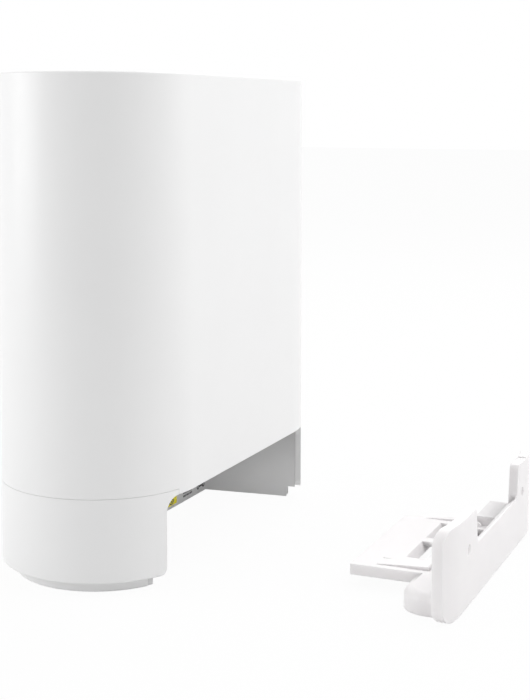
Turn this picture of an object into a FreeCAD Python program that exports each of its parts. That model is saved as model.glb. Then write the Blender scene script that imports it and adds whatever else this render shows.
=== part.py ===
import FreeCAD, Part
import math
import os
import re
import Sketcher

# Wireless router: an upright oval tower on a recessed foot, with a port bay
# cut out of the lower rear and a U-shaped cable cover that pulls out of it.
# X runs along the tower, +Y is the port side, Z is up and the floor is Z 0.
# The origin is the middle of the foot, on the floor.

doc = FreeCAD.newDocument("router")

DIMENSIONS = (
    # casing
    ("body_radius", 37.5, "half the thickness, and the radius of both round ends"),
    ("end_span", 99, "between the axes of the two round ends"),
    ("body_height", 184, "floor to the rim of the casing"),
    ("shell_wall", 2.4, "wall of the casing and of the skirt"),
    ("parting_height", 35, "seam between casing and skirt"),
    ("parting_gap", 0.06, "open width of that seam"),
    ("edge_round", 0.8, "rounding of the casing's rim and the skirt's foot"),
    ("lip_height", 2.4, "how far the skirt's lip stands inside the casing"),
    ("lip_wall", 1.2, "wall of that lip"),
    ("band_height", 3.8, "thick band of the skirt under the lip"),
    ("skirt_bottom", 4.8, "floor to the underside of the skirt"),
    ("skirt_floor", 2, "thickness of the skirt's inward flange"),
    ("skirt_corner", 3, "rounding of the skirt's lower corners at the mouth"),
    ("flange_width", 12, "how far that flange reaches in from the outline"),
    # foot
    ("foot_inset", 5.15, "how far the foot stands back from the skirt"),
    ("foot_bottom", 0.3, "floor to the foot, left by the rubber pads"),
    ("foot_relief", 1, "gap between the foot and the bay's walls"),
    ("pad_radius", 5, "rubber pads"),
    ("pad_sink", 0.8, "depth of the pads' seats"),
    ("pad_end_back", 15.5, "pads in the end lobes, from the casing's end"),
    ("pad_end_y", 13, "pads in the end lobes of the foot"),
    ("pad_front_x", 60, "pads along the front of the foot"),
    ("pad_front_back", 17, "pads along the front, from the casing's front side"),
    # port bay
    ("front_room", 28, "casing's front side to the port wall"),
    ("bay_top", 33, "floor to the ceiling of the bay"),
    ("bay_inner_half", 58.8, "half length of the port wall"),
    ("bay_mouth_half", 64.2, "half length of the mouth"),
    ("bay_corner", 5.5, "rounding of the mouth's upper corners"),
    ("bay_wall", 2, "walls of the bay"),
    ("tongue_half", 58.4, "half length of the casing's tongue over the mouth"),
    ("slack", 0.15, "clearance between fixed mouldings"),
    ("overcut", 1, "how far a cutting tool runs past the face it opens"),
    ("clear_of_side", 20, "how far the bay's cutting tools run past the rear side"),
    # ports, measured along X from the middle and up from the floor
    ("port_height", 18, "axis of the ports"),
    ("wan_x", -24.6, "first network socket"),
    ("port_pitch", 16, "between network sockets"),
    ("port_proud", 0.3, "how far sockets stand back from the port wall's face"),
    ("jack_width", 15.2, "network socket"),
    ("jack_height", 13.2, "network socket"),
    ("plug_width", 11.8, "plug opening"),
    ("plug_height", 6.9, "plug opening without its latch slot"),
    ("plug_depth", 12, "plug opening"),
    ("latch_width", 6.2, "latch slot of the plug opening"),
    ("latch_height", 1.7, "latch slot of the plug opening"),
    ("step_width", 3.1, "narrow step below the latch slot"),
    ("step_height", 1, "narrow step below the latch slot"),
    ("contact_back", 2, "contacts behind the socket's face"),
    ("contact_pitch", 1.02, "between the eight contacts"),
    ("contact_width", 0.45, "one contact"),
    ("contact_height", 0.5, "one contact"),
    ("power_inlet_x", -40.6, "power inlet"),
    ("inlet_width", 9.4, "power inlet"),
    ("inlet_height", 11, "power inlet"),
    ("inlet_bore", 3.2, "radius of the power inlet's bore"),
    ("inlet_pin", 1.05, "radius of its centre pin"),
    ("inlet_depth", 9.5, "depth of its bore"),
    ("pin_back", 1.5, "centre pin behind the inlet's face"),
    ("usb_x", 38.6, "USB socket"),
    ("usb_width", 13.2, "USB socket"),
    ("usb_height", 5.8, "USB socket"),
    ("usb_shell", 0.4, "sheet of its metal shell"),
    ("usb_depth", 11, "depth of its opening"),
    ("usb_tongue", 1.8, "thickness of its contact tongue"),
    ("tongue_back", 1, "contact tongue behind the socket's face"),
    # buttons
    ("button_slack", 0.15, "clearance round a button"),
    ("power_x", 52.4, "power button"),
    ("power_radius", 4.5, "power button"),
    ("power_travel", 2, "power button"),
    ("small_x", -53.6, "pairing and reset buttons"),
    ("pairing_height", 23, "axis of the pairing button"),
    ("pairing_radius", 2.8, "pairing button"),
    ("pairing_travel", 1, "pairing button"),
    ("reset_height", 13.5, "axis of the reset button"),
    ("reset_radius", 1, "reset button"),
    ("reset_travel", 0.8, "reset button"),
    ("button_proud", 0.7, "how far a button stands out of the port wall"),
    ("reset_sink", 0.8, "how far the reset button lies behind the wall's face"),
    ("collar_wall", 0.8, "collar that keeps a button behind the wall"),
    ("collar_gap", 0.3, "collar to wall at rest"),
    ("collar_length", 1.2, "collar along the button"),
    ("switch_size", 6, "switch behind a button"),
    ("switch_depth", 4, "switch behind a button"),
    ("switch_gap", 0.2, "left between button and switch when pressed"),
    ("stem_share", 0.6, "radius of a button's stem to that of its cap"),
    # labels
    ("label_width", 10.2, "colour patch under the first socket"),
    ("label_low", 1.8, "lower edge of the patch above the floor"),
    ("label_high", 10.2, "upper edge of the patch above the floor"),
    ("label_film", 0.2, "thickness of the patch"),
    # board and what it carries
    ("board_gap", 13.5, "port wall's face to the board"),
    ("board_thick", 1.6, "board"),
    ("board_end_slack", 0.3, "board's ends to the bottom of their grooves"),
    ("board_low", 9.6, "lower edge of the board"),
    ("board_drop", 16, "frame's top to the board's upper edge"),
    ("can_width", 36, "shield can"),
    ("can_height", 30, "shield can"),
    ("can_depth", 3, "shield can"),
    ("can_sheet", 0.3, "sheet of a shield can"),
    ("can_spacing", 52, "between the two cans"),
    ("can_level", 88, "middle of the cans above the floor"),
    ("thermal_thick", 1, "thermal pad"),
    ("thermal_inset", 3, "thermal pad inside its can's edges"),
    ("sink_half", 50, "half length of the heat sink"),
    ("sink_low", 50, "lower edge of the heat sink"),
    ("sink_drop", 10, "board's upper edge to the top of the heat sink"),
    ("sink_base", 3, "plate of the heat sink"),
    ("fin_height", 22, "fins of the heat sink"),
    ("fin_thick", 1.6, "fins of the heat sink"),
    ("fin_count", 11, "fins of the heat sink"),
    ("led_size", 2.4, "status light"),
    ("led_depth", 1.2, "status light"),
    ("light_level", 46, "status light above the floor"),
    ("light_width", 14, "window of the status light"),
    ("light_height", 2.4, "window of the status light"),
    # carrier
    ("frame_inset", 18.5, "casing's end to the frame's end"),
    ("frame_gap", 8.1, "casing's front wall to the frame"),
    ("column_width", 6.5, "columns of the frame along X"),
    ("column_depth", 6.4, "columns of the frame along Y"),
    ("groove_depth", 2.6, "groove that holds the board's edge"),
    ("tie_thick", 2, "ties of the frame"),
    ("tie_depth", 13, "lower tie of the frame along Y"),
    ("tie_rear", 14, "rear edge of the upper tie"),
    ("top_bar", 9, "bars of the upper tie"),
    ("ear_length", 10, "ears that take the board's screws"),
    ("ear_depth", 4.6, "ears that take the board's screws"),
    ("ear_low", 44, "lower ears"),
    ("ear_drop", 20, "board's upper edge to the upper ears"),
    ("ear_reach", 6, "columns to the axes of the board's screws"),
    ("foot_pad_back", 15, "screws in the end lobes, from the casing's end"),
    ("foot_pad_y", 4, "screws in the end lobes"),
    ("foot_screw_x", 35, "screws along the front"),
    ("foot_screw_back", 8.5, "screws along the front, behind the frame's front edge"),
    ("lobe_half", 6, "half width of the frame's pads in the end lobes"),
    ("boss_radius", 3.5, "screw bosses"),
    ("boss_height", 1.6, "screw bosses above the lower tie"),
    # screws
    ("screw_radius", 1.5, "shank of a foot screw"),
    ("screw_head", 2.75, "head of a foot screw"),
    ("screw_recess", 1.2, "driver recess of a foot screw"),
    ("head_height", 1.8, "head of a foot screw"),
    ("head_sink", 0.5, "head below the foot's face"),
    ("screw_slack", 0.05, "clearance round a shank"),
    ("head_slack", 0.3, "clearance round a head"),
    ("board_screw", 1.25, "shank of a board screw"),
    ("board_screw_head", 2.4, "head of a board screw"),
    ("board_screw_height", 1.6, "head of a board screw"),
    # aerials
    ("aerial_thick", 0.8, "aerial boards"),
    ("aerial_low", 70, "lower edge of the upright aerials"),
    ("aerial_drop", 26, "frame's top to the upper edge of the upright aerials"),
    ("aerial_rear", 10, "rear edge of the upright aerials"),
    ("aerial_inner", 12, "inner end of the flat aerials"),
    ("aerial_outer", 52, "outer end of the flat aerials"),
    ("aerial_width", 8, "flat aerials"),
    # vent in the top
    ("vent_sink", 1.2, "vent below the casing's rim"),
    ("vent_thick", 2, "vent plate"),
    ("vent_slack", 0.3, "clearance round the vent"),
    ("vent_slots", 15, "slots in one row"),
    ("slot_pitch", 7.6, "between slots"),
    ("slot_width", 3.2, "one slot"),
    ("slot_length", 23, "one slot"),
    ("slot_inset", 3, "rows of slots from the middle line"),
    ("leg_radius", 2.5, "legs under the vent"),
    ("leg_length", 4.8, "legs under the vent"),
    ("leg_x", 63, "legs under the vent"),
    ("leg_back", 5, "front legs, behind the frame's front edge"),
    ("leg_rear", 10.5, "rear legs"),
    # cable cover
    ("cover_away", 100.7, "how far the cover stands behind its seat"),
    ("cover_bottom", 0.3, "floor to the cover"),
    ("cover_slack", 0.5, "clearance above the cover in the mouth"),
    ("cover_end_slack", 1.1, "clearance at the ends of the cover in the mouth"),
    ("cover_wall", 3.5, "rear plate of the cover"),
    ("cover_corner", 6, "corners of the rear plate"),
    ("notch_half", 30.3, "half length of the cable exit at its bottom"),
    ("notch_shift", 2.9, "middle of the cable exit, towards the power inlet"),
    ("notch_flare", 1.9, "how much the cable exit widens to its top, at each end"),
    ("notch_bottom", 19.4, "floor to the cable exit"),
    ("notch_round", 2.5, "lower corners of the cable exit"),
    ("notch_drop", 2.4, "how far the exit's bottom slopes down towards the ports"),
    ("notch_lip", 0.6, "level stretch of the exit's bottom at the outer face"),
    ("ear_corner", 2.5, "upper corners of the plate beside the cable exit"),
    ("step_half", 48, "half length of the plate's lower middle stretch"),
    ("step_sink", 0.4, "how much lower that stretch is than the plate's ends"),
    ("screw_hole_x", 40.5, "half the spacing of the two screw holes"),
    ("screw_hole_shift", 1.9, "middle of the two screw holes, towards the power inlet"),
    ("screw_hole_z", 20, "the two screw holes above the floor"),
    ("screw_hole", 1.9, "radius of the two screw holes"),
    ("ledge_half", 55, "half length of the ledge behind the plate"),
    ("ledge_depth", 21, "ledge from the plate's outer face"),
    ("ledge_top", 8, "top of ledge and tray above the floor"),
    ("ledge_wall", 2.2, "walls of the ledge"),
    ("ledge_corner", 10, "rear corners of the ledge"),
    ("ledge_round", 3.5, "upper edge of the ledge"),
    ("tray_right", 34.6, "right end of the tray"),
    ("tray_left", 30.2, "left end of the tray at its front edge"),
    ("tray_clear", 2, "tray's front edge to the port wall when the cover is seated"),
    ("tray_thick", 4, "tray"),
    ("window_half", 23, "half length of both windows together"),
    ("window_shift", 3.5, "middle of the windows, towards the power inlet"),
    ("window_rear", 28.8, "rear edge of the windows from the plate's outer face"),
    ("window_lean", 1.4, "slope of that edge through the tray"),
    ("window_rib", 4.8, "rib between the windows"),
    ("rib_thick", 1.8, "rib between the windows"),
    ("right_arm_inner", 24.2, "inner side of the right latch arm"),
    ("right_arm_outer", 30.9, "outer side of the right latch arm"),
    ("left_arm_inner", 31.2, "inner side of the left latch arm"),
    ("left_arm_outer", 34.2, "outer side of the left latch arm, and end of the tray there"),
    ("arm_slot", 0.8, "slots beside a latch arm"),
    ("arm_root", 36, "root of a latch arm from the plate's outer face"),
    ("arm_tip", 17, "free end of a latch arm from the plate's outer face"),
    ("arm_rise", 1.2, "how far the free end stands above the tray"),
    ("guide_inset", 2, "guide from the ledge's end"),
    ("guide_tip", 30, "free end of the guide, from the middle"),
    ("guide_depth", 15.6, "guide from the plate's outer face"),
    ("guide_top", 11.6, "top of the guide above the floor"),
    ("guide_rib", 1.7, "radius of the round rib on the guide's free end"),
    ("guide_rib_end", 27.5, "free end of that rib, from the middle"),
    ("guide_rib_behind", 14.6, "that rib from the plate's outer face"),
    ("tie_slot_x", -20, "slot for a cable tie"),
    ("tie_slot_length", 9, "slot for a cable tie"),
    ("tie_slot_width", 3.2, "slot for a cable tie"),
    ("tie_slot_behind", 12.4, "tie slot from the plate's outer face"),
)

sheet = doc.addObject("Spreadsheet::Sheet", "Sizes")
for row, (alias, number, note) in enumerate(DIMENSIONS, 1):
    sheet.set(f"A{row}", note)
    sheet.set(f"B{row}", str(number))
    sheet.setAlias(f"B{row}", alias)
doc.recompute()
ALIASES = {alias for alias, _, _ in DIMENSIONS}


# ---------------------------------------------------------------- helpers
def linked(text):
    """The expression with each named size read from the sheet."""
    def from_sheet(word):
        return "Sizes." + word.group() if word.group() in ALIASES else word.group()
    return re.sub(r"[a-z_]+", from_sheet, str(text))


def bind(thing, prop, text):
    thing.setExpression(prop, linked(text))


def size(alias):
    """A size as a number, for counts and for finding edges."""
    return float(sheet.get(alias))


def span(middle, half):
    """The two ends of a stretch that is centred on a place."""
    return f"({middle}) - ({half})", f"({middle}) + ({half})"


def both(text):
    """A place and its mirror image in the plane X 0."""
    return text, f"-({text})"


def mirrored(inner, outer):
    """A stretch along X and its mirror image, each from low to high."""
    return (inner, outer), (f"-({outer})", f"-({inner})")


def block(name, x, y, z):
    """A box between two expressions along each axis."""
    box = doc.addObject("Part::Box", name)
    for prop, axis, (low, high) in (("Length", "x", x), ("Width", "y", y), ("Height", "z", z)):
        bind(box, prop, f"({high}) - ({low})")
        bind(box, f"Placement.Base.{axis}", low)
    return box


def rod(name, axis, place, radius, low, high):
    """A cylinder along an axis. place gives the other two coordinates."""
    cylinder = doc.addObject("Part::Cylinder", name)
    bind(cylinder, "Radius", radius)
    bind(cylinder, "Height", f"({high}) - ({low})")
    if axis == "Y":
        cylinder.Placement.Rotation = FreeCAD.Rotation(FreeCAD.Vector(1, 0, 0), -90)
        coordinates = (place[0], low, place[1])
    elif axis == "X":
        cylinder.Placement.Rotation = FreeCAD.Rotation(FreeCAD.Vector(0, 1, 0), 90)
        coordinates = (low, *place)
    else:
        coordinates = (*place, low)
    for letter, text in zip("xyz", coordinates):
        bind(cylinder, f"Placement.Base.{letter}", text)
    return cylinder


def wedge(name, x, y, z, far_z):
    """A block along Y whose height is z at its near end and far_z at its far end."""
    shape = doc.addObject("Part::Wedge", name)
    limits = {"Xmin": x[0], "Xmax": x[1], "X2min": x[0], "X2max": x[1], "Ymin": y[0], "Ymax": y[1],
              "Zmin": z[0], "Zmax": z[1], "Z2min": far_z[0], "Z2max": far_z[1]}
    for prop, text in limits.items():
        bind(shape, prop, text)
    return shape


def fused(name, pieces):
    union = doc.addObject("Part::MultiFuse", name)
    union.Shapes = pieces
    union.Refine = True
    return union


def cut(name, base, tools):
    tool = tools[0] if len(tools) == 1 else fused(name + "_tools", tools)
    result = doc.addObject("Part::Cut", name)
    result.Base = base
    result.Tool = tool
    result.Refine = True
    return result


def shared(name, pieces):
    result = doc.addObject("Part::MultiCommon", name)
    result.Shapes = pieces
    result.Refine = True
    return result


def grouped(name, pieces):
    """Several separate solids under one name."""
    group = doc.addObject("Part::Compound", name)
    group.Links = pieces
    return group


def level_sketch(body, name, level):
    """A sketch of the body on a level plane at this height."""
    sketch = body.newObject("Sketcher::SketchObject", name)
    plane = next(item for item in body.Origin.OriginFeatures if item.Role == "XY_Plane")
    sketch.AttachmentSupport = (plane, [""])
    sketch.MapMode = "FlatFace"
    bind(sketch, "AttachmentOffset.Base.z", level)
    return sketch


def draw_oval(sketch, radius):
    """The casing's outline: two half circles on the end axes joined by straight sides."""
    half = size("end_span") / 2
    reach = size("body_radius")
    up = FreeCAD.Vector(0, 0, 1)
    point = FreeCAD.Vector
    quarter = math.pi / 2
    right_circle = Part.Circle(point(half, 0, 0), up, reach)
    left_circle = Part.Circle(point(-half, 0, 0), up, reach)
    right = sketch.addGeometry(Part.ArcOfCircle(right_circle, -quarter, quarter))
    top = sketch.addGeometry(Part.LineSegment(point(half, reach, 0), point(-half, reach, 0)))
    left = sketch.addGeometry(Part.ArcOfCircle(left_circle, quarter, 3 * quarter))
    bottom = sketch.addGeometry(Part.LineSegment(point(-half, -reach, 0), point(half, -reach, 0)))
    ring = (right, top, left, bottom)
    for number, edge in enumerate(ring):
        follower = ring[(number + 1) % 4]
        sketch.addConstraint(Sketcher.Constraint("Tangent", edge, 2, follower, 1))
    sketch.addConstraint(Sketcher.Constraint("Symmetric", left, 3, right, 3, -1, 1))
    sketch.addConstraint(Sketcher.Constraint("PointOnObject", right, 3, -1))
    sketch.addConstraint(Sketcher.Constraint("Equal", left, right))
    width = sketch.addConstraint(Sketcher.Constraint("DistanceX", left, 3, right, 3, 2 * half))
    bind(sketch, f"Constraints[{width}]", "end_span")
    round_end = sketch.addConstraint(Sketcher.Constraint("Radius", right, reach))
    bind(sketch, f"Constraints[{round_end}]", radius)


def draw_polygon(sketch, corners):
    """Straight sides through corners, each given by two expressions."""
    count = len(corners)
    starts = [FreeCAD.Vector(index, index * index, 0) for index in range(count)]
    lines = []
    for index in range(count):
        side = Part.LineSegment(starts[index], starts[(index + 1) % count])
        lines.append(sketch.addGeometry(side))
    for index, line in enumerate(lines):
        joint = Sketcher.Constraint("Coincident", line, 2, lines[(index + 1) % count], 1)
        sketch.addConstraint(joint)
    for index, (line, corner) in enumerate(zip(lines, corners)):
        for kind, start, text in zip(("DistanceX", "DistanceY"), starts[index], corner):
            place = Sketcher.Constraint(kind, -1, 1, line, 1, start)
            number = sketch.addConstraint(place)
            bind(sketch, f"Constraints[{number}]", text)


def pad(body, sketch, length):
    feature = body.newObject("PartDesign::Pad", sketch.Name + "_pad")
    feature.Profile = sketch
    bind(feature, "Length", length)
    return feature


def pocket(body, sketch, length):
    """A cut upwards from the sketch's plane."""
    feature = body.newObject("PartDesign::Pocket", sketch.Name + "_pocket")
    feature.Profile = sketch
    feature.Reversed = True
    bind(feature, "Length", length)
    return feature


def oval_body(name, radius, low, high):
    """An upright oval bar as a body of its own."""
    body = doc.addObject("PartDesign::Body", name)
    sketch = level_sketch(body, name + "_outline", low)
    draw_oval(sketch, radius)
    pad(body, sketch, f"({high}) - ({low})")
    return body


def hollow(body, name, radius, low, high):
    """An oval pocket between two heights."""
    sketch = level_sketch(body, name, low)
    draw_oval(sketch, radius)
    pocket(body, sketch, f"({high}) - ({low})")


def round_edges(body, name, radius, wanted):
    """Fillets the edges of a body whose bounding boxes meet a test."""
    doc.recompute()
    chosen = [f"Edge{number}" for number, edge in enumerate(body.Tip.Shape.Edges, 1)
              if wanted(edge.BoundBox)]
    feature = body.newObject("PartDesign::Fillet", name)
    feature.Base = (feature.BaseFeature, chosen)
    bind(feature, "Radius", radius)


def near(first, second):
    return abs(first - second) < 1e-3


def outer_edge(box, height, inset):
    """Whether an edge belongs to the outline at one height, set in by a distance."""
    reach = size("body_radius") - inset
    level = near(box.ZMin, height) and near(box.ZMax, height)
    straight = near(abs(box.YMin), reach) and near(box.YLength, 0)
    return level and (straight or near(box.YLength, 2 * reach))


def trapezoid_body(name, grow, low, high, reach):
    """The bay's plan, wider at the mouth, grown outwards and pulled out to a distance."""
    slope = f"((bay_mouth_half - bay_inner_half) / {BAY_DEPTH})"
    rear = f"({PORT_FACE} - ({grow}))"
    inner = f"(bay_inner_half + ({grow}) * (1 - {slope}))"
    outer = f"({inner} + {slope} * (({reach}) - {rear}))"
    body = doc.addObject("PartDesign::Body", name)
    sketch = level_sketch(body, name + "_plan", low)
    corners = ((f"-{inner}", rear), (inner, rear), (outer, reach), (f"-{outer}", reach))
    draw_polygon(sketch, corners)
    pad(body, sketch, f"({high}) - ({low})")
    return body


def arch(name, half, y, low, high, radius):
    """A bar along Y whose upper corners are round."""
    pieces = [
        block(name + "_low", span("0", half), y, (low, f"{high} - {radius}")),
        block(name + "_high", span("0", f"{half} - {radius}"), y, (low, high)),
    ]
    for number, side in enumerate(both(f"({half} - {radius})")):
        corner = rod(f"{name}_corner{number}", "Y", (side, f"{high} - {radius}"), radius, *y)
        pieces.append(corner)
    return fused(name, pieces)


nodes = []


def finish(piece, name):
    """Names a finished sub-part."""
    piece.Label = name
    nodes.append(piece)
    return piece


# Places that several pieces share
PORT_FACE = "(front_room - body_radius)"
PORT_REAR = f"({PORT_FACE} - bay_wall)"
BAY_DEPTH = f"(body_radius - {PORT_FACE})"
BOARD_FACE = f"({PORT_FACE} - board_gap)"
BOARD_REAR = f"({BOARD_FACE} - board_thick)"
SOCKET_FACE = f"({PORT_FACE} - port_proud)"
SHELL_LOW = "(parting_height + parting_gap / 2)"
SKIRT_HIGH = "(parting_height - parting_gap / 2)"
INNER = "(body_radius - shell_wall)"
BAY_CEILING = "(bay_top + bay_wall)"
LOWER_TIE = "(skirt_bottom + skirt_floor)"
BEYOND = "(body_radius + clear_of_side)"
BODY_END = "(end_span / 2 + body_radius)"
FRAME_HALF = f"({BODY_END} - frame_inset)"
FRAME_FRONT = f"({INNER} - frame_gap)"
FRAME_TOP = "(body_height - vent_sink - vent_thick - leg_length)"
COLUMN_INNER = f"({FRAME_HALF} - column_width)"
BOARD_HALF = f"({COLUMN_INNER} + groove_depth - board_end_slack)"
BOARD_HIGH = f"({FRAME_TOP} - board_drop)"
SINK_HIGH = f"({BOARD_HIGH} - sink_drop)"


# ---------------------------------------------------------------- casing
def upper_shell():
    """Sleeve of the tower, with the tongue that hangs over the bay's mouth."""
    shell = oval_body("shell", "body_radius", "bay_top", "body_height")
    hollow(shell, "shell_inside", INNER, "bay_top", "body_height")
    around = level_sketch(shell, "shell_foot", "bay_top")
    far = "(end_span + body_radius)"
    draw_polygon(around, (
        (f"-{far}", f"-{far}"), (far, f"-{far}"), (far, far), ("tongue_half", far),
        ("tongue_half", "0"), ("-tongue_half", "0"), ("-tongue_half", far), (f"-{far}", far),
    ))
    pocket(shell, around, f"{SHELL_LOW} - bay_top")
    round_edges(shell, "shell_rim", "edge_round",
                lambda box: outer_edge(box, size("body_height"), 0))
    window = block("light_hole", span("0", "light_width / 2 + slack"),
                   ("-body_radius - overcut", f"-{INNER} + overcut"),
                   span("light_level", "light_height / 2 + slack"))
    finish(cut("shell_cut", shell, [window]), "upper_shell")


def lower_skirt():
    """Skirt below the seam. It is open at the rear, where the bay's mouth is."""
    skirt = oval_body("skirt", "body_radius", "skirt_bottom", SKIRT_HIGH)
    hollow(skirt, "skirt_well", "body_radius - flange_width", "skirt_bottom", SKIRT_HIGH)
    band_low = f"({SKIRT_HIGH} - band_height)"
    hollow(skirt, "skirt_inside", INNER, LOWER_TIE, band_low)
    lip_inner = f"({INNER} - slack - lip_wall)"
    hollow(skirt, "skirt_band", lip_inner, band_low, SKIRT_HIGH)
    lip_top = f"({SKIRT_HIGH} + lip_height)"
    lip_sketch = level_sketch(skirt, "skirt_lip", SKIRT_HIGH)
    draw_oval(lip_sketch, f"{INNER} - slack")
    pad(skirt, lip_sketch, "lip_height")
    hollow(skirt, "skirt_lip_inside", lip_inner, SKIRT_HIGH, lip_top)
    round_edges(skirt, "skirt_edge", "edge_round",
                lambda box: outer_edge(box, size("skirt_bottom"), 0))
    mouth = arch("skirt_mouth", "bay_mouth_half", ("0", BEYOND), "0", "bay_top", "bay_corner")
    corners = []
    deep = ("body_radius - flange_width", BEYOND)
    for number, stretch in enumerate(mirrored("bay_mouth_half - overcut", "bay_mouth_half + skirt_corner")):
        side = both("(bay_mouth_half + skirt_corner)")[number]
        around = block(f"skirt_corner_block{number}", stretch, deep,
                       ("skirt_bottom - overcut", "skirt_bottom + skirt_corner"))
        rest = rod(f"skirt_corner_round{number}", "Y", (side, "skirt_bottom + skirt_corner"),
                   "skirt_corner", *deep)
        corners.append(cut(f"skirt_corner{number}", around, [rest]))
    liner_room = shared("skirt_liner_room", [
        trapezoid_body("skirt_trapezoid", "bay_wall + slack", "0", f"{lip_top} + overcut", BEYOND),
        oval_body("skirt_limit", INNER, "0", f"{lip_top} + overcut"),
    ])
    tongue_room = block("skirt_tongue_room", span("0", "tongue_half + slack"), ("0", BEYOND),
                        ("bay_top - slack", f"{lip_top} + overcut"))
    finish(cut("skirt_cut", skirt, [mouth, liner_room, tongue_room] + corners), "lower_skirt")


def base_foot():
    """Recessed foot plate, open round the bay, with seats for pads and screws."""
    foot = oval_body("foot", "body_radius - foot_inset", "foot_bottom", "skirt_bottom")
    round_edges(foot, "foot_edge", "edge_round",
                lambda box: outer_edge(box, size("foot_bottom"), size("foot_inset")))
    tools = [trapezoid_body("foot_bay", "bay_wall + foot_relief", "0", "skirt_bottom + overcut", BEYOND)]
    for number, place in enumerate(pad_places()):
        tools.append(rod(f"pad_seat{number}", "Z", place, "pad_radius + slack",
                         "0", "foot_bottom + pad_sink"))
    for number, place in enumerate(foot_screw_places()):
        tools.append(rod(f"foot_hole{number}", "Z", place, "screw_radius + screw_slack",
                         "0", "skirt_bottom + overcut"))
        tools.append(rod(f"foot_counterbore{number}", "Z", place, "screw_head + head_slack",
                         "0", "foot_bottom + head_sink + head_height"))
    finish(cut("foot_cut", foot, tools), "base_foot")


def pad_places():
    ends = [(x, "pad_end_y") for x in both(f"({BODY_END} - pad_end_back)")]
    front = [(x, "pad_front_back - body_radius") for x in both("pad_front_x")]
    return ends + front


def foot_screw_places():
    ends = [(x, "-foot_pad_y") for x in both(f"({BODY_END} - foot_pad_back)")]
    front = [(x, f"foot_screw_back - {FRAME_FRONT}") for x in both("foot_screw_x")]
    return ends + front


def rubber_pads():
    pads = [rod(f"pad{number}", "Z", place, "pad_radius", "0", "foot_bottom + pad_sink")
            for number, place in enumerate(pad_places())]
    finish(grouped("pads", pads), "rubber_pads")


def top_vent():
    """Slotted plate that closes the top, on four legs that stand on the frame."""
    high = "(body_height - vent_sink)"
    low = f"({high} - vent_thick)"
    plate = oval_body("vent", f"{INNER} - vent_slack", low, high)
    sketch = level_sketch(plate, "vent_slot", low)
    first = "(-slot_pitch * (vent_slots - 1) / 2)"
    for row_low in ("slot_inset", "-slot_inset - slot_length"):
        left = f"{first} - slot_width / 2"
        right = f"{first} + slot_width / 2"
        row_high = f"{row_low} + slot_length"
        draw_polygon(sketch, ((left, row_low), (right, row_low), (right, row_high), (left, row_high)))
    slots = pocket(plate, sketch, "vent_thick")
    doc.recompute()
    row = plate.newObject("PartDesign::LinearPattern", "vent_row")
    row.Originals = [slots]
    row.Direction = (sketch, ["H_Axis"])
    bind(row, "Occurrences", "vent_slots")
    bind(row, "Length", "slot_pitch * (vent_slots - 1)")
    plate.Tip = row
    places = [(x, y) for x in both("leg_x") for y in (f"leg_back - {FRAME_FRONT}", "leg_rear")]
    legs = [rod(f"vent_leg{number}", "Z", place, "leg_radius", FRAME_TOP, low)
            for number, place in enumerate(places)]
    finish(fused("vent_whole", [plate] + legs), "top_vent")


# ---------------------------------------------------------------- port bay
def sockets():
    """Opening in the port wall for each fixed socket: middle, level, width and height."""
    found = [(f"(wan_x + {number} * port_pitch)", "port_height", "jack_width", "jack_height")
             for number in range(4)]
    found.append(("power_inlet_x", "port_height", "inlet_width", "inlet_height"))
    found.append(("usb_x", "port_height", "usb_width", "usb_height"))
    return found


BUTTONS = (
    # name, middle along X, level, radius, travel, front face
    ("power_button", "power_x", "port_height", "power_radius", "power_travel",
     f"({PORT_FACE} + button_proud)"),
    ("pairing_button", "small_x", "pairing_height", "pairing_radius", "pairing_travel",
     f"({PORT_FACE} + button_proud)"),
    ("reset_button", "small_x", "reset_height", "reset_radius", "reset_travel",
     f"({PORT_FACE} - reset_sink)"),
)


def port_bay():
    """Liner of the bay: port wall, two slanted side walls and a ceiling."""
    outside = trapezoid_body("bay_outside", "bay_wall", "foot_bottom", BAY_CEILING, BEYOND)
    inside = trapezoid_body("bay_inside", "0", "0", "bay_top", BEYOND)
    limit = fused("bay_limit", [
        oval_body("bay_limit_foot", "body_radius - foot_inset - foot_relief", "0", "skirt_bottom"),
        oval_body("bay_limit_skirt", f"{INNER} - slack", "skirt_bottom", BAY_CEILING),
    ])
    tools = [inside]
    for number, (x, z, width, height) in enumerate(sockets()):
        tools.append(block(f"socket_hole{number}", span(x, f"{width} / 2 + slack"),
                           (f"{PORT_REAR} - overcut", f"{PORT_FACE} + overcut"),
                           span(z, f"{height} / 2 + slack")))
    for name, x, z, radius, _, _ in BUTTONS:
        tools.append(rod(name + "_hole", "Y", (x, z), f"{radius} + button_slack",
                         f"{PORT_REAR} - overcut", f"{PORT_FACE} + overcut"))
    limited = shared("bay_limited", [outside, limit])
    finish(cut("bay_cut", limited, tools), "port_bay")


CONTACTS = 8


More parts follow.
